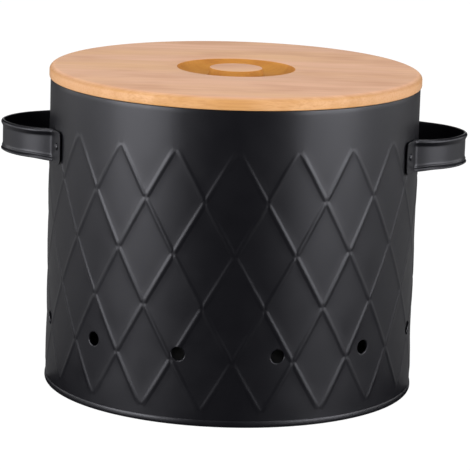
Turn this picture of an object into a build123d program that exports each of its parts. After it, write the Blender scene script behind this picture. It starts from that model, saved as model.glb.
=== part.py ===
"""Potato storage bin: a rolled tin drum with an embossed diamond lattice and vents, a seamed
base, two riveted strap handles and a lift-off bamboo lid.

Millimetres and degrees. The origin is the centre of the underside, +Z is up, the handles are
on the X axis and -Y is the front.
"""

import os
from math import atan, atan2, cos, degrees, pi, radians, sin, sqrt, tan

from build123d import *

# Drum
body_radius = 120.0  # outside of the plain sheet
body_height = 200.0  # floor to the top of the rim, where the lid rests
sheet = 0.35  # tinplate of the wall and of the base
layer_gap = 0.05  # between sheets that are pressed together

# Rim, a flange turned inward under the lid
rim_width = 3.2
rim_bevel = 0.8

# Diamond lattice, embossed in the flat blank before it is rolled
column_pitch = 38.6  # diamond width, along the sheet
half_rows = 5  # half diamonds in the height of the lattice
collar = 24.1  # plain sheet between the rim and the top crossings
foot = 7.7  # plain sheet between the floor and the bottom crossings
ridge_height = 0.7
ridge_base = 3.8
ridge_crest = 3.2
ridge_stop = 4.0  # the ridges stop this far short of the last crossings, above and below
blank_turn = 1.33  # the blank's middle column stands this far right of the front
seam_margin = 12.0  # least plain sheet at the lock seam
lock_width = 6.0  # lock seam, folded to the inside of the drum
lock_layers = 2

# Vents
vent_count = 12
vent_diameter = 8.5
vent_height = 45.4

# Base
base_recess = 5.0  # floor to the top of the base panel
seam_height = 4.2
seam_layers = 3  # sheets folded outside the wall
seam_bevel = 0.4

# Handles
handle_reach = 31.0  # plain wall to the outside of the strap
handle_height = 19.4
handle_drop = 39.45  # rim to the handle's middle
strap = 0.8
hem_height = 3.7
hem_proud = 0.9
nose_radius = 25.0  # outside of the hem
nose_angle = 20.0  # each side of the middle
flank_radius = 42.0  # outside of the hem, past the nose
leg_angle = 72.0  # the legs' slant at the drum, from the wall's direction at the middle
crease_radius = 4.0  # inside face of the strap, where it leaves the tab
flare_length = 10.5  # beyond the crease, where the strap widens to the tab's height
tab_end = 24.8  # angle about the drum's axis, from the handle's middle
tab_height = 22.6
tab_corner = 4.0

# Rivets
rivet_angle = 21.9  # about the drum's axis, from the handle's middle
shank_diameter = 3.0
rivet_head_diameter = 5.0
rivet_head_height = 1.1
rivet_head_flat = 2.6  # diameter of the head's flat top
rivet_tail_diameter = 4.6
rivet_tail_height = 0.7
rivet_hole_gap = 0.05

# Lid
lid_overhang = 0.8
lid_thickness = 8.0  # the part above the rim
plug_depth = 6.0
plug_gap = 0.8
lid_bevel = 2.0
groove_diameter = 76.6
knob_diameter = 34.2
groove_depth = 6.5
groove_slope = 6.0  # width of each sloping side

# Worked out from the sizes above
inner_radius = body_radius - sheet
crest_radius = body_radius + ridge_height
column_angle = degrees(column_pitch / body_radius)
columns = int((2 * pi * body_radius - seam_margin) / column_pitch)
apex_height = body_height - collar
row_spacing = (apex_height - foot) / half_rows
handle_level = body_height - handle_drop
tab_radius = crest_radius + layer_gap  # inside face of the tabs, on the ridges
os.makedirs("parts", exist_ok=True)


def ring(outer, inner, level):
    """Level face between two radii about the drum's axis, or a disc where inner is 0."""
    with BuildSketch(Plane.XY.offset(level)) as face:
        Circle(outer)
        if inner:
            Circle(inner, mode=Mode.SUBTRACT)
    return face.sketch


# Each punch clears one diamond, down to the plain sheet and with sloping sides. It is set out
# on a plane square to the diamond's middle, where the sides are flat.
half_diamond = radians(column_angle) / 2
ridge_slant = (ridge_base - ridge_crest) / 2 / ridge_height
ridge_lean = atan2(row_spacing, column_pitch / 2)
punch_start = body_radius * cos(half_diamond) - sheet
punch_depth = crest_radius + sheet - punch_start
side_inset = ridge_base / 2 + ridge_slant * (body_radius * cos(half_diamond / 2) - punch_start)
punch_half_width = body_radius * sin(half_diamond) - side_inset / sin(ridge_lean)
punch_half_height = row_spacing - side_inset / cos(ridge_lean)

with BuildPart() as diamond_punch:
    with BuildSketch(Plane.XZ.offset(punch_start)):
        with BuildLine():
            Polyline(
                (punch_half_width, 0),
                (0, punch_half_height),
                (-punch_half_width, 0),
                (0, -punch_half_height),
                close=True,
            )
        make_face()
    extrude(amount=punch_depth, taper=-degrees(atan(ridge_slant)))

# The lattice is a band as high as the ridges, less a punch for each diamond. Rows are half a
# diamond apart, so every other row is shifted by half a column.
band_bottom = foot + ridge_stop
band_height = half_rows * row_spacing - 2 * ridge_stop
plain_strip = 360 - columns * column_angle

with BuildPart() as lattice:
    extrude(ring(crest_radius, body_radius - sheet / 2, band_bottom), amount=band_height)
    for row in range(half_rows + 1):
        diamonds = columns + 1 - row % 2
        first = blank_turn - (diamonds - 1) / 2 * column_angle
        with Locations((0, 0, apex_height - row * row_spacing)):
            with PolarLocations(0, diamonds, first, diamonds * column_angle):
                add(diamond_punch.part, mode=Mode.SUBTRACT)
    with BuildSketch(Plane.XY.offset(band_bottom)):
        with BuildLine():
            right_edge = PolarLine((0, 0), 2 * body_radius, 90 + blank_turn - plain_strip / 2)
            left_edge = PolarLine((0, 0), 2 * body_radius, 90 + blank_turn + plain_strip / 2)
            Line(right_edge @ 1, left_edge @ 1)
        make_face()
    extrude(amount=band_height, mode=Mode.SUBTRACT)

with BuildPart() as vent_punch:
    with BuildSketch(Plane.XZ.offset(body_radius / 2)):
        with Locations((0, vent_height)):
            Circle(vent_diameter / 2)
    extrude(amount=body_radius)

with BuildPart() as rivet_drill:
    with BuildSketch(Plane.YZ.offset(body_radius / 2)):
        with Locations((0, handle_level)):
            Circle(shank_diameter / 2 + rivet_hole_gap)
    extrude(amount=body_radius)

rivet_turns = [
    Location((0, 0, 0), (0, 0, side + turn))
    for side in (0, 180)
    for turn in (-rivet_angle, rivet_angle)
]

wall_bottom = sheet + layer_gap
rim_inside = body_radius - rim_width
rim_turn = sheet * tan(radians(45) / 2)  # shortens the inside of a 45 degree bend

with BuildPart() as body_shell:
    with BuildSketch(Plane.XZ):
        with BuildLine():
            Polyline(
                (body_radius, wall_bottom),
                (body_radius, body_height - rim_bevel),
                (body_radius - rim_bevel, body_height),
                (rim_inside, body_height),
                (rim_inside, body_height - sheet),
                (body_radius - rim_bevel - rim_turn, body_height - sheet),
                (inner_radius, body_height - rim_bevel - rim_turn),
                (inner_radius, wall_bottom),
                close=True,
            )
        make_face()
    revolve(axis=Axis.Z)
    add(lattice.part)
    with BuildSketch(Plane.XY.offset(base_recess + layer_gap)):
        with Locations(Location((0, 0, 0), (0, 0, blank_turn))):
            with Locations((0, inner_radius + sheet / 2)):
                Rectangle(lock_width, (lock_layers + 0.5) * sheet, align=(Align.CENTER, Align.MAX))
    extrude(amount=body_height - rim_bevel - rim_turn - base_recess - layer_gap)
    with PolarLocations(0, vent_count, 180 / vent_count):
        add(vent_punch.part, mode=Mode.SUBTRACT)
    with Locations(*rivet_turns):
        add(rivet_drill.part, mode=Mode.SUBTRACT)

# The base is a shallow pan with a folded channel round it, which grips the wall's bottom edge.
pan_outside = inner_radius - layer_gap
pan_inside = pan_outside - sheet
seam_inside = body_radius + layer_gap
seam_outside = body_radius + seam_layers * sheet

with BuildPart() as base_pan:
    with BuildSketch(Plane.XZ):
        with BuildLine():
            Polyline(
                (0, base_recess - sheet),
                (pan_inside, base_recess - sheet),
                (pan_inside, 0),
                (seam_outside, 0),
                (seam_outside, seam_height - seam_bevel),
                (seam_outside - seam_bevel, seam_height),
                (seam_inside, seam_height),
                (seam_inside, sheet),
                (pan_outside, sheet),
                (pan_outside, base_recess),
                (0, base_recess),
                close=True,
            )
        make_face()
    revolve(axis=Axis.Z)

# The lid is one turned bamboo board: a step on its underside drops into the rim, and a groove
# leaves a knob in the middle that is level with the top.
lid_top = body_height + lid_thickness
lid_radius = body_radius + lid_overhang
plug_radius = rim_inside - plug_gap
groove_radius = groove_diameter / 2
knob_radius = knob_diameter / 2

with BuildPart() as lid:
    with BuildSketch(Plane.XZ):
        with BuildLine():
            Polyline(
                (0, lid_top),
                (0, body_height - plug_depth),
                (plug_radius, body_height - plug_depth),
                (plug_radius, body_height),
                (lid_radius, body_height),
                (lid_radius, lid_top - lid_bevel),
                (lid_radius - lid_bevel, lid_top),
                (groove_radius, lid_top),
                (groove_radius - groove_slope, lid_top - groove_depth),
                (knob_radius + groove_slope, lid_top - groove_depth),
                (knob_radius, lid_top),
                close=True,
            )
        make_face()
    revolve(axis=Axis.Z)


# Each handle is a strap bent in plan: a round nose, two flatter flanks that run out into straight
# legs, and two tabs that lie on the drum. The line of its inside face is worked out for one leg.
nose_normal = Vector(cos(radians(nose_angle)), sin(radians(nose_angle)))
leg_normal = Vector(cos(radians(leg_angle)), sin(radians(leg_angle)))
leg_along = Vector(-leg_normal.Y, leg_normal.X)
nose_inside = nose_radius - hem_proud - strap
flank_inside = flank_radius - hem_proud - strap
nose_centre = Vector(body_radius + handle_reach - strap - nose_inside, 0)
flank_centre = nose_centre - nose_normal * (flank_radius - nose_radius)
crease_start = flank_centre + leg_normal * (flank_inside + crease_radius)
crease_reach = tab_radius + crease_radius
along = crease_start.dot(leg_along)
crease_slide = -sqrt(crease_reach**2 - crease_start.dot(leg_normal) ** 2) - along
crease_centre = crease_start + leg_along * crease_slide
crease_angle = degrees(atan2(crease_centre.Y, crease_centre.X))


def leg_line(offset):
    """Plan line of one leg from nose to tab, at a distance outside the strap's inside face."""
    nose = CenterArc(nose_centre, nose_inside + offset, 0, nose_angle)
    flank = CenterArc(
        flank_centre, flank_inside + offset, nose_angle, leg_angle - nose_angle
    )
    crease = CenterArc(
        crease_centre, crease_radius - offset, 180 + leg_angle, crease_angle - leg_angle
    )
    Line(flank @ 1, crease @ 0)
    return nose @ 0, crease @ 1


def leg_face(near, far, level):
    """Plan of one leg of a layer of the strap, between two distances from its inside face."""
    with BuildSketch(Plane.XY.offset(level)) as face:
        with BuildLine():
            near_nose, near_tab = leg_line(near)
            far_nose, far_tab = leg_line(far)
            Line(near_nose, far_nose)
            Line(near_tab, far_tab)
        make_face()
    return face.sketch


# The strap is cut from the tabs' height and narrowed above and below, past the flare.
tab_bottom = handle_level - tab_height / 2
flare_rise = (tab_height - handle_height) / 2
hem_length = hem_height + flare_rise
hem_levels = (tab_bottom, tab_bottom + tab_height - hem_length)
past_nose = body_radius + 2 * handle_reach

with BuildPart() as flare_waste:
    with BuildSketch(Plane.XZ):
        with BuildLine():
            Polyline(
                (crease_centre.X, tab_height / 2),
                (crease_centre.X + flare_length, handle_height / 2),
                (past_nose, handle_height / 2),
                (past_nose, tab_height / 2),
                close=True,
            )
        make_face()
        mirror(about=Plane.XZ)
    extrude(amount=body_radius, both=True)

with BuildPart() as tab:
    with BuildSketch(Plane.XY.offset(tab_bottom)):
        with BuildLine():
            inside = CenterArc((0, 0), tab_radius, crease_angle, tab_end - crease_angle)
            outside = CenterArc((0, 0), tab_radius + strap, crease_angle, tab_end - crease_angle)
            Line(inside @ 0, outside @ 0)
            Line(inside @ 1, outside @ 1)
        make_face()
    extrude(amount=tab_height)
    corners = tab.edges().filter_by(GeomType.LINE).group_by(SortBy.LENGTH)[0]
    fillet(corners.sort_by(Axis.Y)[-2:], tab_corner)

with BuildPart() as handle_right:
    extrude(leg_face(0, strap, tab_bottom), amount=tab_height)
    for level in hem_levels:
        extrude(leg_face(strap, strap + hem_proud, level), amount=hem_length)
    with Locations((0, 0, handle_level)):
        add(flare_waste.part, mode=Mode.SUBTRACT)
    add(tab.part)
    with Locations(Location((0, 0, 0), (0, 0, rivet_angle))):
        add(rivet_drill.part, mode=Mode.SUBTRACT)
    mirror(about=Plane.XZ)

with BuildPart() as handle_left:
    add(mirror(handle_right.part, about=Plane.YZ, mode=Mode.PRIVATE))

# Rivets hold the tabs: a bevelled head outside, a shank and a flat tail inside the drum.
tail_end = inner_radius - layer_gap - rivet_tail_height
tail_seat = inner_radius - layer_gap
head_seat = tab_radius + strap + layer_gap

with BuildPart() as rivet:
    with BuildSketch(Plane.XZ):
        with BuildLine():
            Polyline(
                (head_seat + rivet_head_height, 0),
                (tail_end, 0),
                (tail_end, rivet_tail_diameter / 2),
                (tail_seat, rivet_tail_diameter / 2),
                (tail_seat, shank_diameter / 2),
                (head_seat, shank_diameter / 2),
                (head_seat, rivet_head_diameter / 2),
                (head_seat + rivet_head_height, rivet_head_flat / 2),
                close=True,
            )
        make_face()
    revolve(axis=Axis.X)

with BuildPart() as handle_rivets:
    with Locations((0, 0, handle_level)):
        with Locations(*rivet_turns):
            add(rivet.part)

body_shell.part.label = "body_shell"
export_step(body_shell.part, "parts/body_shell.step")
base_pan.part.label = "base_pan"
export_step(base_pan.part, "parts/base_pan.step")
handle_left.part.label = "handle_left"
export_step(handle_left.part, "parts/handle_left.step")
handle_right.part.label = "handle_right"
export_step(handle_right.part, "parts/handle_right.step")
handle_rivets.part.label = "handle_rivets"
export_step(handle_rivets.part, "parts/handle_rivets.step")
lid.part.label = "lid"
export_step(lid.part, "parts/lid.step")
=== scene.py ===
"""Potato storage bin: the look. An embossed black tin drum with a bamboo lid.

Metres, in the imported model's frame: +Z up, handles on the X axis, the front to -Y.
"""

from itertools import product
from math import atan2, cos, hypot, pi, radians, sin, sqrt

import bmesh
import bpy
from mathutils import Matrix, Vector


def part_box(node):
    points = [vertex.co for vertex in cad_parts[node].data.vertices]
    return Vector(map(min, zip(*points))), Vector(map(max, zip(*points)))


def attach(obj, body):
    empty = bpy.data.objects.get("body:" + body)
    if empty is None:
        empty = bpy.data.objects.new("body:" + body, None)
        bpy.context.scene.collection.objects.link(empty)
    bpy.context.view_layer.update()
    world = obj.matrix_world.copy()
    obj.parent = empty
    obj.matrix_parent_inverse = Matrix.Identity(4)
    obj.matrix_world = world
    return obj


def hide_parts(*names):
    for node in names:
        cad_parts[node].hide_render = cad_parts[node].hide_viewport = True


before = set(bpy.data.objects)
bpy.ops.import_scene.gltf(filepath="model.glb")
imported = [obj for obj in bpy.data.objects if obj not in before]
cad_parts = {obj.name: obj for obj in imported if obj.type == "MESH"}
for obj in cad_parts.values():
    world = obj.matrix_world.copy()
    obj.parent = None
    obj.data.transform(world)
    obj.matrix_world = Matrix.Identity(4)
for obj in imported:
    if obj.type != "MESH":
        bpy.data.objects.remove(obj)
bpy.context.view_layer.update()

mm = 0.001
same_place = 1e-6  # in lattice units, below which two places count as one
same_line = 1e-4  # in lattice units, within which places share a row or a column
bend_steps = 4  # of each small round bend
scene = bpy.context.scene
scene.view_settings.view_transform = "Standard"

# Drum
wall_radius = 120.0 * mm  # outside of the plain sheet
sheet = 0.35 * mm
rim_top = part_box("body_shell")[1][2]
wall_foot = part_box("body_shell")[0][2]
rim_width = 3.2 * mm
shoulder = 0.6 * mm  # radius of the bend at the rim
flare = 0.5 * mm  # the wall opens out towards the base
flare_height = 45.0 * mm
rim_drops = [20 * mm, 15.5 * mm, 11 * mm, 7 * mm, 3.5 * mm]  # rings of points below the rim
foot_levels = [wall_foot, 3.0 * mm, 5.4 * mm]  # rings of points below the lattice

# Diamond lattice
blank_turn = radians(1.33)  # the blank's middle stands this far right of the front
half_column = 38.6 * mm / wall_radius / 2  # half a diamond's width, as an angle
columns = 19
rows = 5
apex_height = 175.9 * mm
row_spacing = 33.64 * mm
ridge_height = 0.36 * mm
ridge_half_width = 2.5 * mm
ridge_dip = 0.5  # share of the height that is left at a crossing
ridge_dip_run = 0.6 * mm  # the dip's lowest stretch, either side of a crossing
ridge_taper = 2.4 * mm  # from a crossing to the ridge's full height
end_gap = 3.2 * mm  # the ridges stop short of the top and bottom crossings
end_fade = 1 * mm  # either side of that, the ridges sink into the sheet
seam_notch = 0.22 * mm  # depth of the line at the blank's joint
seam_notch_width = 0.9 * mm

# Lock seam, folded to the inside
lock_width = 6.0 * mm
lock_depth = 0.9 * mm
lock_foot = 5.5 * mm
lock_top_gap = 0.3 * mm  # below the rim's bend
lock_sink = 0.05 * mm  # into the wall

# Vents
vent_radius = 4.25 * mm
vent_lip = 0.75 * mm
vent_lip_depth = 0.9 * mm
vent_lip_sink = 0.1 * mm  # the lip's hidden side, past the sheet
vent_lip_proud = 0.03 * mm
vent_lip_steps = 5
vent_height = 45.4 * mm
vent_count = 12
vent_segments = 40
vent_cutter_length = 10 * mm

# Base
seam_top = 4.2 * mm
seam_middle = 1.5 * mm  # level of the bead's widest ring
seam_under_swell = 0.9 * mm
seam_bite = 0.1 * mm  # the bead's top runs this far into the wall
seam_inside_level = 1.5 * mm
seam_inside_drop = 0.5 * mm  # from the panel to the top of the seam's inner layer
seam_under_steps = 5
seam_steps = 8
base_segments = 192
pan_gap = 0.4 * mm  # between the wall and the recess
pan_bend = 1.0 * mm
pan_foot_bend = 0.8 * mm

# Handles
strap = 0.8 * mm
strap_top = 170.25 * mm
strap_bottom = 150.4 * mm
tab_top = 170.6 * mm
tab_bottom = 149.3 * mm
flare_run = 15 * mm  # from the drum, where the strap deepens towards its tabs
flare_start = 6 * mm  # inside the ridges' crests
tab_corner = 4.0 * mm
crest_radius = wall_radius + 0.75 * mm
nose_inside = 23.05 * mm
nose_centre = Vector((126.9 * mm, 0.0))
nose_angle = radians(16)
nose_steps = 7
flank_inside = 40.05 * mm
flank_steps = 18
leg_angle = radians(75)
leg_steps = 5
crease_radius = 4.0 * mm
crease_steps = 12
crease_crush = 0.6  # share of the hems that is pressed flat in the crease
crease_crush_start = 0.3  # share of the crease where that sets in
tab_end = radians(24.8)
tab_steps = 14
tab_spread = 1.6  # above 1, the tab's sections crowd towards its end
tab_crush_run = 0.5  # share of the tab over which the rest is pressed flat

# The strap's edges, as (outward from the inside face, in from the edge), in millimetres. The upper
# edge is rolled out in one broad bead. The lower one is a smaller bead below a narrow swell.
upper_edge = [
    (0.0, 1.6),
    (0.0, 0.5),
    (0.18, 0.12),
    (0.6, 0.0),
    (1.1, 0.2),
    (1.55, 0.65),
    (1.85, 1.2),
    (1.95, 1.75),
    (1.85, 2.3),
    (1.55, 2.9),
    (1.2, 3.5),
    (0.95, 4.0),
    (0.83, 4.4),
    (0.8, 4.8),
    (0.8, 5.6),
]
lower_edge = [
    (0.0, 1.6),
    (0.0, 0.5),
    (0.22, 0.12),
    (0.7, 0.0),
    (1.3, 0.14),
    (1.78, 0.45),
    (1.95, 0.9),
    (1.8, 1.35),
    (1.42, 1.75),
    (1.08, 2.1),
    (1.15, 2.4),
    (1.38, 2.7),
    (1.36, 3.05),
    (1.12, 3.5),
    (0.88, 4.1),
    (0.8, 4.8),
    (0.8, 5.6),
]

# Rivets
rivet_angle = radians(21.9)
rivet_level = 160.55 * mm
rivet_head_radius = 2.5 * mm
rivet_dome = 1.15 * mm
rivet_sink = 0.1 * mm  # the head's edge goes this far into the tab
rivet_dome_steps = 6
rivet_shank_radius = 1.5 * mm
rivet_tail_radius = 2.3 * mm
rivet_tail_flat = 2.0 * mm
rivet_tail_gap = 0.05 * mm
rivet_tail_side = 0.5 * mm
rivet_tail_height = 0.7 * mm
rivet_segments = 28

# Lid
lid_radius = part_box("lid")[1][0]
lid_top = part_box("lid")[1][2]
lid_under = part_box("lid")[0][2]
edge_run = 4.6 * mm  # the top edge is rounded over this much of the face
edge_drop = 3.2 * mm  # and this much of the side
edge_steps = 12
under_edge = 1.1 * mm
plug_radius = wall_radius - rim_width - 0.8 * mm
plug_edge = 1.0 * mm
plug_relief = 0.6 * mm  # the seat runs in to this far from the plug
knob_ring = 8.55 * mm  # rings of points on the flat faces
face_rings = [60 * mm, 90 * mm]
under_ring = 60 * mm
groove_radius = 38.3 * mm
groove_depth = 6.5 * mm
groove_lip = 0.4 * mm
knob_radius = 17.1 * mm
knob_slope = 1.0 * mm  # the knob's side leans out by this much
knob_fillet = 2.6 * mm
cove_run = 8.5 * mm
cove_angle = 76  # degrees of the cove's rise
cove_steps = 14
lid_segments = 240

# Bamboo's zones
strip_width = 18.5 * mm  # of the strips glued side by side
groove_fade = 0.6 * mm  # past the groove's rim, to the face's colour
groove_fade_levels = lid_top - 0.25 * mm, lid_top - 0.05 * mm
edge_fade_radii = lid_radius - 2.6 * mm, lid_radius - 0.6 * mm
end_fade_squares = 0.2 * lid_radius**2, 0.6 * lid_radius**2  # x squared, where fibres end at the edge

# Finishes
coat_roughness = 0.36, 0.42
coat_bump = 0.06
bamboo_roughness = 0.56, 0.64
bamboo_bump = 0.12
groove_duller = 0.15
edge_glossier = 0.18
bump_depth = 0.1 * mm

# Colours, linear
coat_colours = (0.002, 0.0019, 0.0032), (0.0028, 0.0027, 0.0042)
coat_gloss_tint = (0.92, 0.92, 1.0, 1.0)
# The face's four colours are the wood's tone with a painted sheen: paler and pinker than the edge's gold.
face_colours_with_painted_sheen = (0.59, 0.335, 0.21), (0.655, 0.38, 0.245)
face_strip_colour_with_painted_sheen = (0.56, 0.29, 0.16)
face_gold_colour_with_painted_sheen = (0.635, 0.37, 0.19)
face_patch_colour_with_painted_sheen = (0.51, 0.26, 0.15)
# The groove's colours carry painted shade: darker and more saturated than the wood's gold, in the recess
# and on the knob's side.
groove_colours_with_painted_shade = (0.42, 0.17, 0.025), (0.5, 0.225, 0.038)
edge_colours = (0.43, 0.21, 0.062), (0.54, 0.3, 0.14)
edge_end_colour = (0.43, 0.235, 0.115)
fibre_colour = (0.36, 0.16, 0.05)
world_colour = (0.62, 0.62, 0.625)
white = (1.0, 1.0, 1.0)
floor_colour = (0.9, 0.9, 0.9, 1.0)

# Camera
camera_distance = 1.8
camera_height = 0.4861
camera_aim = 0.0968  # level that the view's middle falls on
camera_yaw = 0.0014
camera_roll = 0.0304
lens_length = 214.73  # in millimetres, as the sensor's width
sensor_width = 36.0
view_end = 50.0

# Light
box_distance = 1.4
box_aim = 0.1  # level that the boxes point at

# Floor and cards
floor_half = 8.0
floor_glow = 1.06
floor_glow_share = 0.9  # the rest is plain white paint, which keeps the shadow
card_level = 0.0005  # just over the floor
card_radius = 2.4
card_height = 3.0
card_steps = 30


# ---------------------------------------------------------------- mesh helpers


def add_object(name, data):
    obj = bpy.data.objects.new(name, data)
    scene.collection.objects.link(obj)
    return obj


def new_mesh(name, verts, faces, material):
    mesh = bpy.data.meshes.new(name)
    mesh.from_pydata(verts, [], faces)
    mesh.materials.append(material)
    return mesh


def smooth_mesh(mesh, sharp):
    """Smooth shading, with the edges over an angle in degrees left sharp."""
    mesh.shade_smooth()
    mesh.set_sharp_from_angle(angle=radians(sharp))


def add_piece(name, verts, faces, material, body, sharp=35.0):
    """A smooth-shaded piece that rides on a body."""
    mesh = new_mesh(name, verts, faces, material)
    mesh.validate()
    smooth_mesh(mesh, sharp)
    obj = add_object(name, mesh)
    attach(obj, body)
    return obj


def smooth(value, low, high):
    """0 below low, 1 above high, with a soft rise between."""
    t = min(max((value - low) / (high - low), 0.0), 1.0)
    return t * t * (3 - 2 * t)


def arc(centre, radius, start, end, steps):
    """Points of an arc in the (radius, height) plane, with both ends, in degrees."""
    turns = [radians(start + (end - start) * i / steps) for i in range(steps + 1)]
    return [(centre[0] + radius * cos(t), centre[1] + radius * sin(t)) for t in turns]


def band(low, high):
    """Faces that join two closed rings of vertices."""
    faces = []
    for k in range(len(low)):
        m = (k + 1) % len(low)
        faces.append([low[k], low[m], high[m], high[k]])
    return faces


def revolve(profile, segments):
    """Vertices and faces of a profile of (radius, height) turned about Z. A point on the axis is
    one vertex."""
    on_axis = 1e-7
    verts = []
    rings = []
    for radius, height in profile:
        if radius < on_axis:
            rings.append([len(verts)] * segments)
            verts.append((0.0, 0.0, height))
            continue
        rings.append(list(range(len(verts), len(verts) + segments)))
        for i in range(segments):
            turn = 2 * pi * i / segments
            verts.append((radius * cos(turn), radius * sin(turn), height))
    faces = []
    for low, high in zip(rings, rings[1:]):
        for face in band(low, high):
            corners = list(dict.fromkeys(face))  # three at the axis
            if len(corners) > 2:
                faces.append(corners)
    return verts, faces


# ---------------------------------------------------------------- materials


class Nodes:
    """Short calls to build the nodes of a material or of the world."""

    def __init__(self, owner):
        owner.use_nodes = True
        self.owner = owner
        self.tree = owner.node_tree
        self.shader = self.tree.nodes.get("Principled BSDF")

    def add(self, kind, **settings):
        """A new node. A setting is a property of the node, or the value of the input it names."""
        node = self.tree.nodes.new(kind)
        for key, value in settings.items():
            if hasattr(node, key):
                setattr(node, key, value)
            else:
                node.inputs[key].default_value = value
        return node

    def link(self, source, target):
        self.tree.links.new(source, target)

    def feed(self, socket, value):
        """Gives an input a number, a colour or another node's output."""
        if isinstance(value, (int, float)):
            socket.default_value = value
        elif isinstance(value, tuple):
            socket.default_value = (*value, 1.0)
        else:
            self.link(value, socket)

    def math(self, operation, *values):
        node = self.add("ShaderNodeMath", operation=operation)
        for socket, value in zip(node.inputs, values):
            self.feed(socket, value)
        return node.outputs[0]

    def square(self, value):
        return self.math("MULTIPLY", value, value)

    def mix(self, factor, a, b):
        """Colour a where factor is 0 and b where it is 1."""
        node = self.add("ShaderNodeMix", data_type="RGBA")
        factor_input, a_input, b_input = node.inputs[0], node.inputs[6], node.inputs[7]
        self.feed(factor_input, factor)
        self.feed(a_input, a)
        self.feed(b_input, b)
        return node.outputs[2]

    def remap(self, value, low, high, to_low, to_high):
        node = self.add("ShaderNodeMapRange")
        for socket, item in zip(node.inputs, (value, low, high, to_low, to_high)):
            self.feed(socket, item)
        return node.outputs[0]

    def noise(self, scale, stretch=(1, 1, 1), detail=3.0, offset=(0, 0, 0)):
        """Noise on the piece's own coordinates. The scale is per metre."""
        place = self.add("ShaderNodeTexCoord")
        mapping = self.add("ShaderNodeMapping", Scale=stretch, Location=offset)
        self.link(place.outputs["Object"], mapping.inputs["Vector"])
        node = self.add("ShaderNodeTexNoise", Scale=scale, Detail=detail)
        self.link(mapping.outputs[0], node.inputs["Vector"])
        return node.outputs["Fac"]

    def bump(self, height, strength):
        node = self.add("ShaderNodeBump", Strength=strength, Distance=bump_depth)
        self.link(height, node.inputs["Height"])
        self.link(node.outputs[0], self.shader.inputs["Normal"])


def make_black_coat():
    """Satin black powder coat, with a fine orange peel and slightly uneven gloss."""
    n = Nodes(bpy.data.materials.new("black_coat"))
    cloud = n.noise(18.0, detail=2.0)
    uneven = n.noise(60.0, detail=4.0)
    orange_peel = n.noise(900.0, detail=2.0)
    n.link(n.mix(cloud, *coat_colours), n.shader.inputs["Base Color"])
    n.shader.inputs["Specular IOR Level"].default_value = 0.5
    n.shader.inputs["Specular Tint"].default_value = coat_gloss_tint
    n.link(n.remap(uneven, 0.3, 0.7, *coat_roughness), n.shader.inputs["Roughness"])
    n.bump(orange_peel, coat_bump)
    return n.owner


def bamboo_face(n, across_strips, streak):
    """The sanded face: glued strips of slightly different tones, with golden and darker areas, all with a
    painted sheen that makes them paler and pinker than the wood's own gold.
    """
    patch = n.noise(1.0, stretch=(18, 40, 40), detail=2.0, offset=(9, 4, 2))
    gold = n.noise(1.0, stretch=(5, 26, 26), detail=3.0, offset=(5, 8, 1))
    strip = n.add("ShaderNodeTexWhiteNoise", noise_dimensions="1D")
    n.link(n.math("FLOOR", n.math("DIVIDE", across_strips, strip_width)), strip.inputs["W"])
    # The face's base colours, with their painted sheen.
    face = n.mix(streak, *face_colours_with_painted_sheen)
    face = n.mix(n.remap(strip.outputs["Value"], 0, 1, 0, 0.22), face, face_strip_colour_with_painted_sheen)
    face = n.mix(n.remap(gold, 0.42, 0.62, 0, 0.75), face, face_gold_colour_with_painted_sheen)
    return n.mix(n.remap(patch, 0.48, 0.72, 0, 0.7), face, face_patch_colour_with_painted_sheen)


def make_bamboo():
    """Laminated bamboo, its strips and fibres along X. The turned groove and edge are a deeper gold than
    the sanded face, whose colours carry a painted sheen; the groove's colours carry painted shade. The
    edge shows the fibres' ends."""
    n = Nodes(bpy.data.materials.new("bamboo"))
    place = n.add("ShaderNodeTexCoord")
    split = n.add("ShaderNodeSeparateXYZ")
    n.link(place.outputs["Object"], split.inputs[0])
    x, y, z = split.outputs
    radius = n.math("SQRT", n.math("ADD", n.square(x), n.square(y)))
    near_groove = n.remap(radius, groove_radius, groove_radius + groove_fade, 1, 0)
    below_face = n.remap(z, *groove_fade_levels, 1, 0)
    in_groove = n.math("MULTIPLY", near_groove, below_face)
    on_edge = n.remap(radius, *edge_fade_radii, 0, 1)
    at_ends = n.remap(n.square(x), *end_fade_squares, 0, 1)

    fibre = n.noise(1.0, stretch=(22, 900, 900), detail=4.0)
    streak = n.noise(1.0, stretch=(5, 150, 60), detail=3.0, offset=(3, 1, 7))
    streak = n.remap(streak, 0.35, 0.65, 0, 1)
    # In the groove, the face's colours give way to the groove's, which carry painted shade.
    colour = n.mix(in_groove, bamboo_face(n, y, streak), n.mix(streak, *groove_colours_with_painted_shade))
    edge = n.mix(at_ends, n.mix(streak, *edge_colours), edge_end_colour)
    colour = n.mix(on_edge, colour, edge)
    shade = n.math("MULTIPLY", n.remap(fibre, 0.45, 0.7, 0, 1), n.remap(on_edge, 0, 1, 0.22, 0.5))
    n.link(n.mix(shade, colour, fibre_colour), n.shader.inputs["Base Color"])

    roughness = n.remap(fibre, 0.3, 0.7, *bamboo_roughness)
    roughness = n.math("ADD", roughness, n.math("MULTIPLY", in_groove, groove_duller))
    roughness = n.math("SUBTRACT", roughness, n.math("MULTIPLY", on_edge, edge_glossier))
    n.link(roughness, n.shader.inputs["Roughness"])
    n.shader.inputs["Specular IOR Level"].default_value = 0.3
    n.bump(fibre, bamboo_bump)
    return n.owner


black_coat = make_black_coat()
bamboo = make_bamboo()

# ---------------------------------------------------------------- drum wall

# Places on the wall are (x, y): x in half columns from the blank's middle, y in rows down from the
# top crossings. The ridges run along p = (x + y) / 2 and q = (x - y) / 2.
full_turn = 2 * pi / half_column  # the whole turn, in half columns
lattice_edge = float(columns)  # where the lattice stops, either side of the blank's middle
blank_joint = full_turn / 2
across = 1 / hypot(1 / (2 * half_column * wall_radius), 1 / (2 * row_spacing))  # between two ridges
along = hypot(half_column * wall_radius, row_spacing)  # between two crossings

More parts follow.
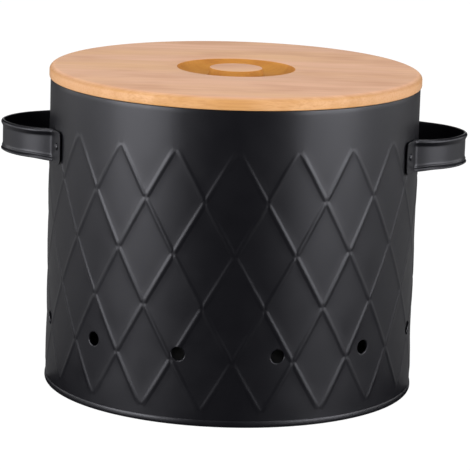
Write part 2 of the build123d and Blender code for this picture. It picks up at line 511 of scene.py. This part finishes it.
# The grid is fine on a ridge, and has one middle line between two ridges
fine_steps = [step / across for step in (0.0, 0.6 * mm, 1.2 * mm, 1.8 * mm, 2.5 * mm, 6.5 * mm)]
steps = fine_steps + [0.5] + [1 - step for step in reversed(fine_steps)]

# The plain strip at the blank's joint is fine in the middle, where the joint's notch is
joint_offsets = [-0.6, -0.3, -0.06, -0.03, 0.0, 0.03, 0.06, 0.3, 0.6]
joint_columns = [blank_joint + (blank_joint - lattice_edge) * offset for offset in joint_offsets]


def ridge(offset, run):
    """Height of one ridge at an offset across it and a run along it, in lattice units."""
    distance = abs(offset - round(offset)) * across
    if distance >= ridge_half_width:
        return 0.0
    crown = 0.5 + 0.5 * cos(pi * distance / ridge_half_width)
    from_crossing = abs(run - round(run)) * along
    dip = ridge_dip + (1 - ridge_dip) * smooth(from_crossing, ridge_dip_run, ridge_taper)
    return ridge_height * crown * dip


def flare_at(level):
    return flare * (1 - smooth(level, 0.0, flare_height))


def in_lattice(x, y):
    return abs(x) < lattice_edge + same_place and -same_place < y < rows + same_place


def relief(x, y):
    """Height of the wall over the plain sheet at a place."""
    from_joint = (x - blank_joint) * half_column * wall_radius
    height = -seam_notch * max(0.0, 1 - abs(from_joint) / (seam_notch_width / 2))
    if in_lattice(x, y):
        p = (x + y) / 2
        q = (x - y) / 2
        from_end = min(y, rows - y) * row_spacing
        shown = smooth(from_end, end_gap - end_fade, end_gap + end_fade)
        height += max(ridge(p, q), ridge(q, p)) * shown
    return height + flare_at(apex_height - y * row_spacing)


def turn_at(x):
    """Angle about the drum's axis, from +X."""
    return blank_turn + x * half_column - pi / 2


def row_at(level):
    return (apex_height - level) / row_spacing


def wall_point(x, y, depth=0.0):
    radius = wall_radius + relief(x, y) - depth
    turn = turn_at(x)
    return (radius * cos(turn), radius * sin(turn), apex_height - y * row_spacing)


class Grid:
    """Places on the wall, each kept once, and the faces between them."""

    def __init__(self):
        self.index = {}
        self.places = []
        self.faces = []

    def point(self, x, y):
        key = (round(x, 5), round(y, 5))
        if key not in self.index:
            self.index[key] = len(self.places)
            self.places.append((x, y))
        return self.index[key]

    def add_face(self, corners):
        self.faces.append([self.point(x, y) for x, y in corners])

    def columns_at(self, row):
        """The lattice's columns in one row, and the plain strip's."""
        edge = lattice_edge + same_line
        in_row = [x for x, y in self.places if abs(y - row) < same_line and abs(x) < edge]
        return [*sorted(in_row), *joint_columns]

    def rows_at_edge(self):
        return sorted(y for x, y in self.places if abs(x + lattice_edge) < same_line)


def add_lattice(grid):
    """Cells between the ridges, each a finer grid, cut off at the lattice's four edges."""
    cell_corners = ((0, 0), (1, 0), (1, 1), (0, 1))
    for i, j in product(range(-columns, columns + 1), repeat=2):
        if not (0 <= i - j <= rows and -columns - 1 <= i + j <= columns - 1):
            continue
        for a, b in product(range(len(steps) - 1), repeat=2):
            spots = [(i + steps[a + da], j + steps[b + db]) for da, db in cell_corners]
            corners = [(p + q, p - q) for p, q in spots if in_lattice(p + q, p - q)]
            if len(corners) > 2:
                grid.add_face(corners)


def add_joint_strip(grid):
    """The plain strip from the lattice's one end, past the blank's joint, to its other end."""
    edge_rows = grid.rows_at_edge()
    strip = [lattice_edge, *joint_columns, -lattice_edge]
    for y0, y1 in zip(edge_rows, edge_rows[1:]):
        for x0, x1 in zip(strip, strip[1:]):
            grid.add_face([(x0, y0), (x0, y1), (x1, y1), (x1, y0)])


def add_collar(grid, ring, levels):
    """A plain stretch of wall, above or below the lattice."""
    for y0, y1 in zip(levels, levels[1:]):
        for x0, x1 in zip(ring, ring[1:] + ring[:1]):
            grid.add_face([(x0, y0), (x1, y0), (x1, y1), (x0, y1)])


def add_lip(verts, faces, ring, columns_round, profile):
    """Carries a ring of vertices on through a profile of (radius, height). Returns the last ring."""
    for radius, height in profile:
        above = list(range(len(verts), len(verts) + len(columns_round)))
        for x in columns_round:
            verts.append((radius * cos(turn_at(x)), radius * sin(turn_at(x)), height))
        faces.extend(band(ring, above))
        ring = above
    return ring


def build_wall():
    """The embossed sheet: the lattice, the plain strip at the blank's joint, plain collars above
    and below, all with the sheet's thickness, and an inturned rim."""
    grid = Grid()
    add_lattice(grid)
    add_joint_strip(grid)
    top_ring = grid.columns_at(0)
    foot_ring = grid.columns_at(rows)
    rim_row = row_at(rim_top - shoulder)
    add_collar(grid, top_ring, [0.0, *(row_at(rim_top - drop) for drop in rim_drops), rim_row])
    add_collar(grid, foot_ring, [*(row_at(level) for level in foot_levels), float(rows)])

    count = len(grid.places)
    verts = [wall_point(x, y) for x, y in grid.places]
    verts += [wall_point(x, y, sheet) for x, y in grid.places]
    faces = grid.faces + [[v + count for v in reversed(face)] for face in grid.faces]

    rim_out = [grid.point(x, rim_row) for x in top_ring]
    rim_in = [v + count for v in rim_out]
    bend = (wall_radius - shoulder, rim_top - shoulder)
    rim_end = wall_radius - rim_width
    lip_out = arc(bend, shoulder, 0, 90, bend_steps)[1:] + [(rim_end, rim_top)]
    lip_in = arc(bend, shoulder - sheet, 0, 90, bend_steps)[1:] + [(rim_end, rim_top - sheet)]
    edge_out = add_lip(verts, faces, rim_out, top_ring, lip_out)
    edge_in = add_lip(verts, faces, rim_in, top_ring, lip_in)
    foot_out = [grid.point(x, row_at(wall_foot)) for x in foot_ring]
    foot_in = [v + count for v in foot_out]
    faces += band(edge_out, edge_in) + band(foot_out, foot_in)
    return verts, faces


def vent_turns():
    """Angles of the vents about the axis, from the front."""
    return [pi / vent_count * (2 * k + 1) for k in range(vent_count)]


def make_vent_cutter():
    """Short rods through the wall, one at each vent."""
    bm = bmesh.new()
    for turn in vent_turns():
        place = Matrix.Rotation(turn, 4, "Z") @ Matrix.Translation((0, -wall_radius, vent_height))
        bmesh.ops.create_cone(
            bm,
            cap_ends=True,
            segments=vent_segments,
            radius1=vent_radius + vent_lip / 2,
            radius2=vent_radius + vent_lip / 2,
            depth=vent_cutter_length,
            matrix=place @ Matrix.Rotation(pi / 2, 4, "X"),
        )
    mesh = bpy.data.meshes.new("vent_cutter")
    bm.to_mesh(mesh)
    bm.free()
    return add_object("vent_cutter", mesh)


def face_outward(mesh):
    bm = bmesh.new()
    bm.from_mesh(mesh)
    bmesh.ops.recalc_face_normals(bm, faces=bm.faces)
    bm.to_mesh(mesh)
    bm.free()


def make_wall():
    verts, faces = build_wall()
    drum = add_piece("drum_wall", verts, faces, black_coat, "bin")
    face_outward(drum.data)
    cutter = make_vent_cutter()
    cut = drum.modifiers.new("vents", "BOOLEAN")
    cut.operation = "DIFFERENCE"
    cut.solver = "EXACT"
    cut.object = cutter
    graph = bpy.context.evaluated_depsgraph_get()
    drilled = bpy.data.meshes.new_from_object(drum.evaluated_get(graph))
    drum.modifiers.clear()
    drum.data = drilled
    drum.data.name = "drum_wall"
    bpy.data.objects.remove(cutter)
    drilled.materials.clear()
    drilled.materials.append(black_coat)
    smooth_mesh(drilled, 35.0)
    return drum


def surface_radius(turn, level):
    """Outside radius of the wall at an angle from the front and a height."""
    x = ((turn - blank_turn + pi) % (2 * pi) - pi) / half_column
    return wall_radius + relief(x, row_at(level))


def make_vent_lips():
    """Each vent is punched from outside, so its edge turns in with a small round lip."""
    outer = vent_radius + vent_lip
    profile = []
    for k in range(vent_lip_steps + 1):
        turn = radians(90 * k / vent_lip_steps)
        profile.append((vent_radius + vent_lip * (1 - sin(turn)), -vent_lip_depth * (1 - cos(turn))))
    profile.append((vent_radius + sheet, -vent_lip_depth - vent_lip_sink))
    profile.append((outer, -sheet - vent_lip_sink))
    verts = []
    faces = []
    for centre in vent_turns():
        rings = []
        for radius, depth in profile:
            rings.append(list(range(len(verts), len(verts) + vent_segments)))
            for i in range(vent_segments):
                spin = 2 * pi * i / vent_segments
                turn = centre + radius * cos(spin) / wall_radius
                level = vent_height + radius * sin(spin)
                edge_turn = centre + outer * cos(spin) / wall_radius
                edge_level = vent_height + outer * sin(spin)
                outside = surface_radius(edge_turn, edge_level) + vent_lip_proud + depth
                verts.append((outside * sin(turn), -outside * cos(turn), level))
        for low, high in zip(rings, rings[1:] + rings[:1]):
            faces += band(low, high)
    return add_piece("vent_lips", verts, faces, black_coat, "bin", sharp=50.0)


def make_lock_seam():
    """The blank's folded joint inside the drum, at the back."""
    profile = [(-0.5, 0.0), (-0.5, 0.7), (-0.42, 1.0), (0.42, 1.0), (0.5, 0.7), (0.5, 0.0)]
    inside = wall_radius - sheet + lock_sink
    middle = blank_turn + pi
    top = rim_top - shoulder - lock_top_gap
    sections = 4
    verts = []
    rings = []
    for k in range(sections):
        level = lock_foot + (top - lock_foot) * k / (sections - 1)
        rings.append(list(range(len(verts), len(verts) + len(profile))))
        for side, depth in profile:
            turn = middle + side * lock_width / wall_radius
            radius = inside - depth * lock_depth + flare_at(level)
            verts.append((radius * sin(turn), -radius * cos(turn), level))
    faces = [rings[0], rings[-1][::-1]]
    for low, high in zip(rings, rings[1:]):
        faces += band(low, high)
    return add_piece("lock_seam", verts, faces, black_coat, "bin")


wall = make_wall()
vent_lips = make_vent_lips()
lock_seam = make_lock_seam()
for piece in (wall, vent_lips, lock_seam):
    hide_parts("body_shell")

# ---------------------------------------------------------------- base


def make_base():
    """The recessed base, rolled round the wall's foot in a round bead."""
    seam_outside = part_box("base_pan")[1][0]
    panel_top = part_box("base_pan")[1][2]
    recess = wall_radius - sheet - pan_gap
    swell = seam_outside - (wall_radius + flare) + seam_bite
    panel_bend = (recess - pan_gap - pan_bend, panel_top - sheet - pan_bend)
    foot_bend = (recess + pan_gap, pan_foot_bend)
    profile = [(0.0, panel_top - sheet)]
    profile += arc(panel_bend, pan_bend, 90, 0, bend_steps)
    profile += arc(foot_bend, pan_foot_bend, 180, 270, bend_steps)
    for k in range(seam_under_steps + 1):
        turn = radians(90 * (1 - k / seam_under_steps))
        radius = seam_outside - seam_under_swell * (1 - cos(turn))
        profile.append((radius, seam_middle * (1 - sin(turn))))
    for k in range(1, seam_steps + 1):
        turn = radians(90 * k / seam_steps)
        radius = seam_outside - swell * (1 - cos(turn))
        profile.append((radius, seam_middle + (seam_top - seam_middle) * sin(turn)))
    profile += [
        (wall_radius + flare - seam_bite, seam_inside_level),
        (recess + sheet / 2, seam_inside_level),
        (recess + sheet / 2, panel_top - seam_inside_drop),
        (recess - pan_gap, panel_top),
        (0.0, panel_top),
    ]
    verts, faces = revolve(profile, base_segments)
    return add_piece("base", verts, faces, black_coat, "bin", sharp=40.0)


base = make_base()
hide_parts("base_pan")

# ---------------------------------------------------------------- handles


def handle_path():
    """Stations along one leg, from the nose to the tab's end. Each is a point of the strap's
    inside face in plan, its outward normal, and two shares from 0 to 1: how far through the
    crease, and how far along the tab. The tab's length comes with them."""

    def polar(turn):
        return Vector((cos(turn), sin(turn)))

    leg_normal = polar(leg_angle)
    leg_along = Vector((-leg_normal.y, leg_normal.x))
    flank_centre = nose_centre - polar(nose_angle) * (flank_inside - nose_inside)
    crease_start = flank_centre + leg_normal * (flank_inside + crease_radius)
    reach = crest_radius + crease_radius
    slide = -sqrt(reach**2 - crease_start.dot(leg_normal) ** 2) - crease_start.dot(leg_along)
    crease_centre = crease_start + leg_along * slide
    crease_angle = atan2(crease_centre.y, crease_centre.x)
    stations = []
    for k in range(nose_steps + 1):
        out = polar(nose_angle * k / nose_steps)
        stations.append((nose_centre + out * nose_inside, out, 0.0, 0.0))
    for k in range(1, flank_steps + 1):
        out = polar(nose_angle + (leg_angle - nose_angle) * k / flank_steps)
        stations.append((flank_centre + out * flank_inside, out, 0.0, 0.0))
    leg_start = stations[-1][0]
    for k in range(1, leg_steps):
        stations.append((leg_start + leg_along * slide * k / leg_steps, leg_normal, 0.0, 0.0))
    for k in range(crease_steps + 1):
        share = k / crease_steps
        out = polar(leg_angle + (crease_angle - leg_angle) * share)
        stations.append((crease_centre - out * crease_radius, out, share, 0.0))
    for k in range(1, tab_steps + 1):
        share = 1 - (1 - k / tab_steps) ** tab_spread
        out = polar(crease_angle + (tab_end - crease_angle) * share)
        stations.append((out * crest_radius, out, 1.0, share))
    return stations, crest_radius * (tab_end - crease_angle)


def strap_section(crush, low, high):
    """Outline of the strap across its length, as (outward, level). Where crush is 1, the edges are
    pressed flat."""

    def edge_points(points, level, side):
        line = []
        for out, down in points:
            proud = max(out * mm - strap, 0.0)
            line.append((out * mm - crush * proud, level - side * down * mm))
        return line

    middle = (low + high) / 2
    upper = edge_points(upper_edge, high, 1)
    lower = edge_points(lower_edge, low, -1)
    return [(0.0, middle), *upper, (strap, middle), *reversed(lower)]


def strap_levels(place, from_end):
    """Lowest and highest level of the strap at a station, with the tab's round corners."""
    leg = smooth(place.x - crest_radius + flare_start, 0, flare_run)
    top = tab_top + (strap_top - tab_top) * leg
    bottom = tab_bottom + (strap_bottom - tab_bottom) * leg
    if from_end >= tab_corner:
        return bottom, top
    cut = tab_corner - sqrt(max(tab_corner**2 - (tab_corner - from_end) ** 2, 0.0))
    return bottom + cut, top - cut


def build_handle():
    stations, tab_length = handle_path()
    mirrored = [(Vector((p.x, -p.y)), Vector((n.x, -n.y)), crease, tab) for p, n, crease, tab in stations]
    verts = []
    rings = []
    for place, normal, crease, tab in list(reversed(mirrored)) + stations[1:]:
        bottom, top = strap_levels(place, (1 - tab) * tab_length)
        in_crease = crease_crush * smooth(crease, crease_crush_start, 1.0)
        crush = 1 - (1 - in_crease) * (1 - smooth(tab, 0.0, tab_crush_run))
        section = strap_section(crush, bottom, top)
        rings.append(list(range(len(verts), len(verts) + len(section))))
        for out, level in section:
            spot = place + normal * out
            verts.append((spot.x, spot.y, level))
    faces = [rings[0][::-1], rings[-1]]
    for low, high in zip(rings, rings[1:]):
        faces += band(low, high)
    return verts, faces


def make_handles():
    verts, faces = build_handle()
    for name, side in (("handle_right", 1), ("handle_left", -1)):
        placed = [(side * x, y, z) for x, y, z in verts]
        turned = faces if side > 0 else [face[::-1] for face in faces]
        handle = add_piece(name + "_strap", placed, turned, black_coat, "bin", sharp=50.0)
        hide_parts(name)


def build_rivet():
    """One rivet along Z, its head outward, measured from the drum's axis."""
    seat = crest_radius + strap
    head_edge = seat - rivet_sink
    wall_inside = wall_radius - sheet
    profile = [(0.0, seat + rivet_dome)]
    for k in range(1, rivet_dome_steps + 1):
        turn = radians(90 * k / rivet_dome_steps)
        height = head_edge + (rivet_dome + rivet_sink) * cos(turn)
        profile.append((rivet_head_radius * sin(turn), height))
    profile += [
        (rivet_shank_radius, head_edge),
        (rivet_shank_radius, wall_inside - rivet_tail_gap),
        (rivet_tail_radius, wall_inside - rivet_tail_gap),
        (rivet_tail_radius, wall_inside - rivet_tail_side),
        (rivet_tail_flat, wall_inside - rivet_tail_height),
        (0.0, wall_inside - rivet_tail_height),
    ]
    return revolve(profile, rivet_segments)


def make_rivets():
    """Domed heads on the tabs and flat tails inside the drum, two at each handle."""
    one_verts, one_faces = build_rivet()
    lift = Matrix.Translation((0, 0, rivet_level))
    lay_down = Matrix.Rotation(pi / 2, 4, "Y")
    verts = []
    faces = []
    for side in (0, pi):
        for turn in (-rivet_angle, rivet_angle):
            place = lift @ Matrix.Rotation(side + turn, 4, "Z") @ lay_down
            first = len(verts)
            verts += [tuple(place @ Vector(v)) for v in one_verts]
            faces += [[v + first for v in face] for face in one_faces]
    rivets = add_piece("rivets", verts, faces, black_coat, "bin", sharp=40.0)
    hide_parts("handle_rivets")


make_handles()
make_rivets()

# ---------------------------------------------------------------- lid


def lid_profile():
    """From the middle of the face, out and round the edge, and back in under the lid."""
    groove_floor = lid_top - groove_depth
    knob_foot = knob_radius + knob_slope
    profile = [(0.0, lid_top), (knob_ring, lid_top)]
    profile += arc((knob_radius - groove_lip, lid_top - groove_lip), groove_lip, 90, 10, bend_steps)
    profile += arc((knob_foot + knob_fillet, groove_floor + knob_fillet), knob_fillet, 190, 270, 7)
    for k in range(1, cove_steps + 1):
        turn = radians(cove_angle * k / cove_steps)
        radius = groove_radius - cove_run + cove_run * sin(turn)
        profile.append((radius, groove_floor + (groove_depth - groove_lip) * (1 - cos(turn))))
    profile += arc((groove_radius + groove_lip, lid_top - groove_lip), groove_lip, 165, 90, 3)
    profile += [(ring, lid_top) for ring in face_rings]
    for k in range(edge_steps + 1):
        turn = radians(90 * (1 - k / edge_steps))
        radius = lid_radius - edge_run * (1 - cos(turn))
        profile.append((radius, lid_top - edge_drop * (1 - sin(turn))))
    profile += arc((lid_radius - under_edge, rim_top + under_edge), under_edge, 0, -90, bend_steps)
    profile += [(plug_radius + plug_relief, rim_top)]
    profile += arc((plug_radius - plug_edge, lid_under + plug_edge), plug_edge, 0, -90, bend_steps)
    profile += [(under_ring, lid_under), (0.0, lid_under)]
    return profile


def make_lid():
    """A turned bamboo board: soft edges, a step under it, and a cove round a level knob."""
    verts, faces = revolve(lid_profile(), lid_segments)
    return add_piece("lid_board", verts, faces, bamboo, "lid", sharp=30.0)


lid = make_lid()
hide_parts("lid")

# ---------------------------------------------------------------- camera


def make_camera():
    """Far off, a little above, and tilted a touch."""
    pitch = atan2(camera_aim - camera_height, camera_distance)
    across_floor = cos(pitch)
    forward = Vector((sin(camera_yaw) * across_floor, cos(camera_yaw) * across_floor, sin(pitch)))
    right = forward.cross(Vector((0, 0, 1))).normalized()
    up = right.cross(forward)
    view_right = cos(camera_roll) * right + sin(camera_roll) * up
    view_up = cos(camera_roll) * up - sin(camera_roll) * right
    data = bpy.data.cameras.new("camera")
    data.lens = lens_length
    data.sensor_width = sensor_width
    data.clip_end = view_end
    camera = add_object("camera", data)
    axes = Matrix((view_right, view_up, -forward)).transposed().to_4x4()
    camera.matrix_world = Matrix.Translation((0, -camera_distance, camera_height)) @ axes
    scene.camera = camera


make_camera()

# ---------------------------------------------------------------- light


def add_softbox(name, azimuth, elevation, width, height, watts):
    """Area light at an azimuth from the front towards +X, aimed at the middle of the bin."""
    data = bpy.data.lights.new(name, "AREA")
    data.shape = "RECTANGLE"
    data.size = width
    data.size_y = height
    data.energy = watts
    lamp = add_object(name, data)
    flat = box_distance * cos(radians(elevation))
    lamp.location = (
        flat * sin(radians(azimuth)),
        -flat * cos(radians(azimuth)),
        box_aim + box_distance * sin(radians(elevation)),
    )
    direction = Vector((0, 0, box_aim)) - lamp.location
    lamp.rotation_euler = direction.to_track_quat("-Z", "Y").to_euler()
    lamp.visible_camera = False


def add_softboxes():
    """Two low panels make the drum's upright bands of light. Boxes beside and behind it light its
    edges and the lid's, and two high ones light the lid's face and the handles' rolled edges."""
    for name, azimuth, elevation, width, height, watts in (
        ("low_left", -58, 7, 1.0, 0.5, 15.0),
        ("low_right", 60, 7, 1.05, 0.5, 13.5),
        ("side_left", -95, 8, 0.4, 0.5, 1.5),
        ("side_right", 95, 8, 0.4, 0.5, 1.5),
        ("rear_left", -115, 8, 0.4, 0.5, 1.5),
        ("rear_right", 115, 8, 0.4, 0.5, 1.5),
        ("high_left", -60, 55, 0.5, 0.5, 5.5),
        ("high_right", 60, 55, 0.5, 0.5, 5.5),
    ):
        add_softbox(name, azimuth, elevation, width, height, watts)


add_softboxes()


def make_world():
    """White to the eye, in gloss and through glass, and a soft grey light on everything else."""
    scene.world = bpy.data.worlds.new("studio")
    n = Nodes(scene.world)
    path = n.add("ShaderNodeLightPath")
    seen = n.math("MAXIMUM", path.outputs["Is Camera Ray"], path.outputs["Is Glossy Ray"])
    seen = n.math("MAXIMUM", seen, path.outputs["Is Transmission Ray"])
    n.link(n.mix(seen, world_colour, white), n.tree.nodes["Background"].inputs["Color"])


make_world()

# ---------------------------------------------------------------- floor and cards


def make_floor():
    """A white floor that the bin's shadow falls on."""
    n = Nodes(bpy.data.materials.new("floor"))
    n.shader.inputs["Base Color"].default_value = floor_colour
    n.shader.inputs["Roughness"].default_value = 0.9
    n.shader.inputs["Specular IOR Level"].default_value = 0.0
    path = n.add("ShaderNodeLightPath")
    glow = n.add("ShaderNodeEmission", Strength=floor_glow)
    share = n.math("MULTIPLY", path.outputs["Is Camera Ray"], floor_glow_share)
    blend = n.add("ShaderNodeMixShader")
    for socket, source in zip(blend.inputs, (share, n.shader.outputs[0], glow.outputs[0])):
        n.link(source, socket)
    n.link(blend.outputs[0], n.tree.nodes["Material Output"].inputs["Surface"])
    verts = [(x * floor_half, y * floor_half, 0) for x, y in ((-1, -1), (1, -1), (1, 1), (-1, 1))]
    floor = add_object("floor", new_mesh("floor", verts, [(0, 1, 2, 3)], n.owner))


def make_flag(name, shade, verts, faces):
    """Card that only gloss sees, so that it throws no shadow."""
    n = Nodes(bpy.data.materials.new(name))
    n.shader.inputs["Base Color"].default_value = (shade, shade, shade, 1.0)
    n.shader.inputs["Specular IOR Level"].default_value = 0.0
    flag = add_object(name, new_mesh(name, verts, faces, n.owner))
    flag.visible_camera = False
    flag.visible_diffuse = False
    flag.visible_shadow = False
    flag.visible_transmission = False


def card_points(start, end, heights):
    """Points round the bin between two azimuths, at each height in turn."""
    points = []
    for k in range(card_steps + 1):
        turn = radians(start + (end - start) * k / card_steps)
        points += [(card_radius * sin(turn), -card_radius * cos(turn), z) for z in heights]
    return points


def make_flags():
    """Black card stands round the bin but for the back, hangs over it and lies in front of it.
    Grey card lies behind it."""
    verts = [(0, 0, card_height), *card_points(-165, 165, (card_level, card_height))]
    faces = []
    for k in range(card_steps):
        low = 2 * k + 1
        high = low + 1
        faces += [(low, high, high + 2, low + 2), (0, high + 2, high)]
    make_flag("flag_surround", 0.0, verts, faces)
    for name, shade, start, end in (
        ("flag_front_floor", 0.0, -85, 85),
        ("flag_back_floor", 0.23, 85, 275),
    ):
        verts = [(0, 0, card_level), *card_points(start, end, (card_level,))]
        faces = [(0, k + 1, k + 2) for k in range(card_steps)]
        make_flag(name, shade, verts, faces)


make_floor()
make_flags()
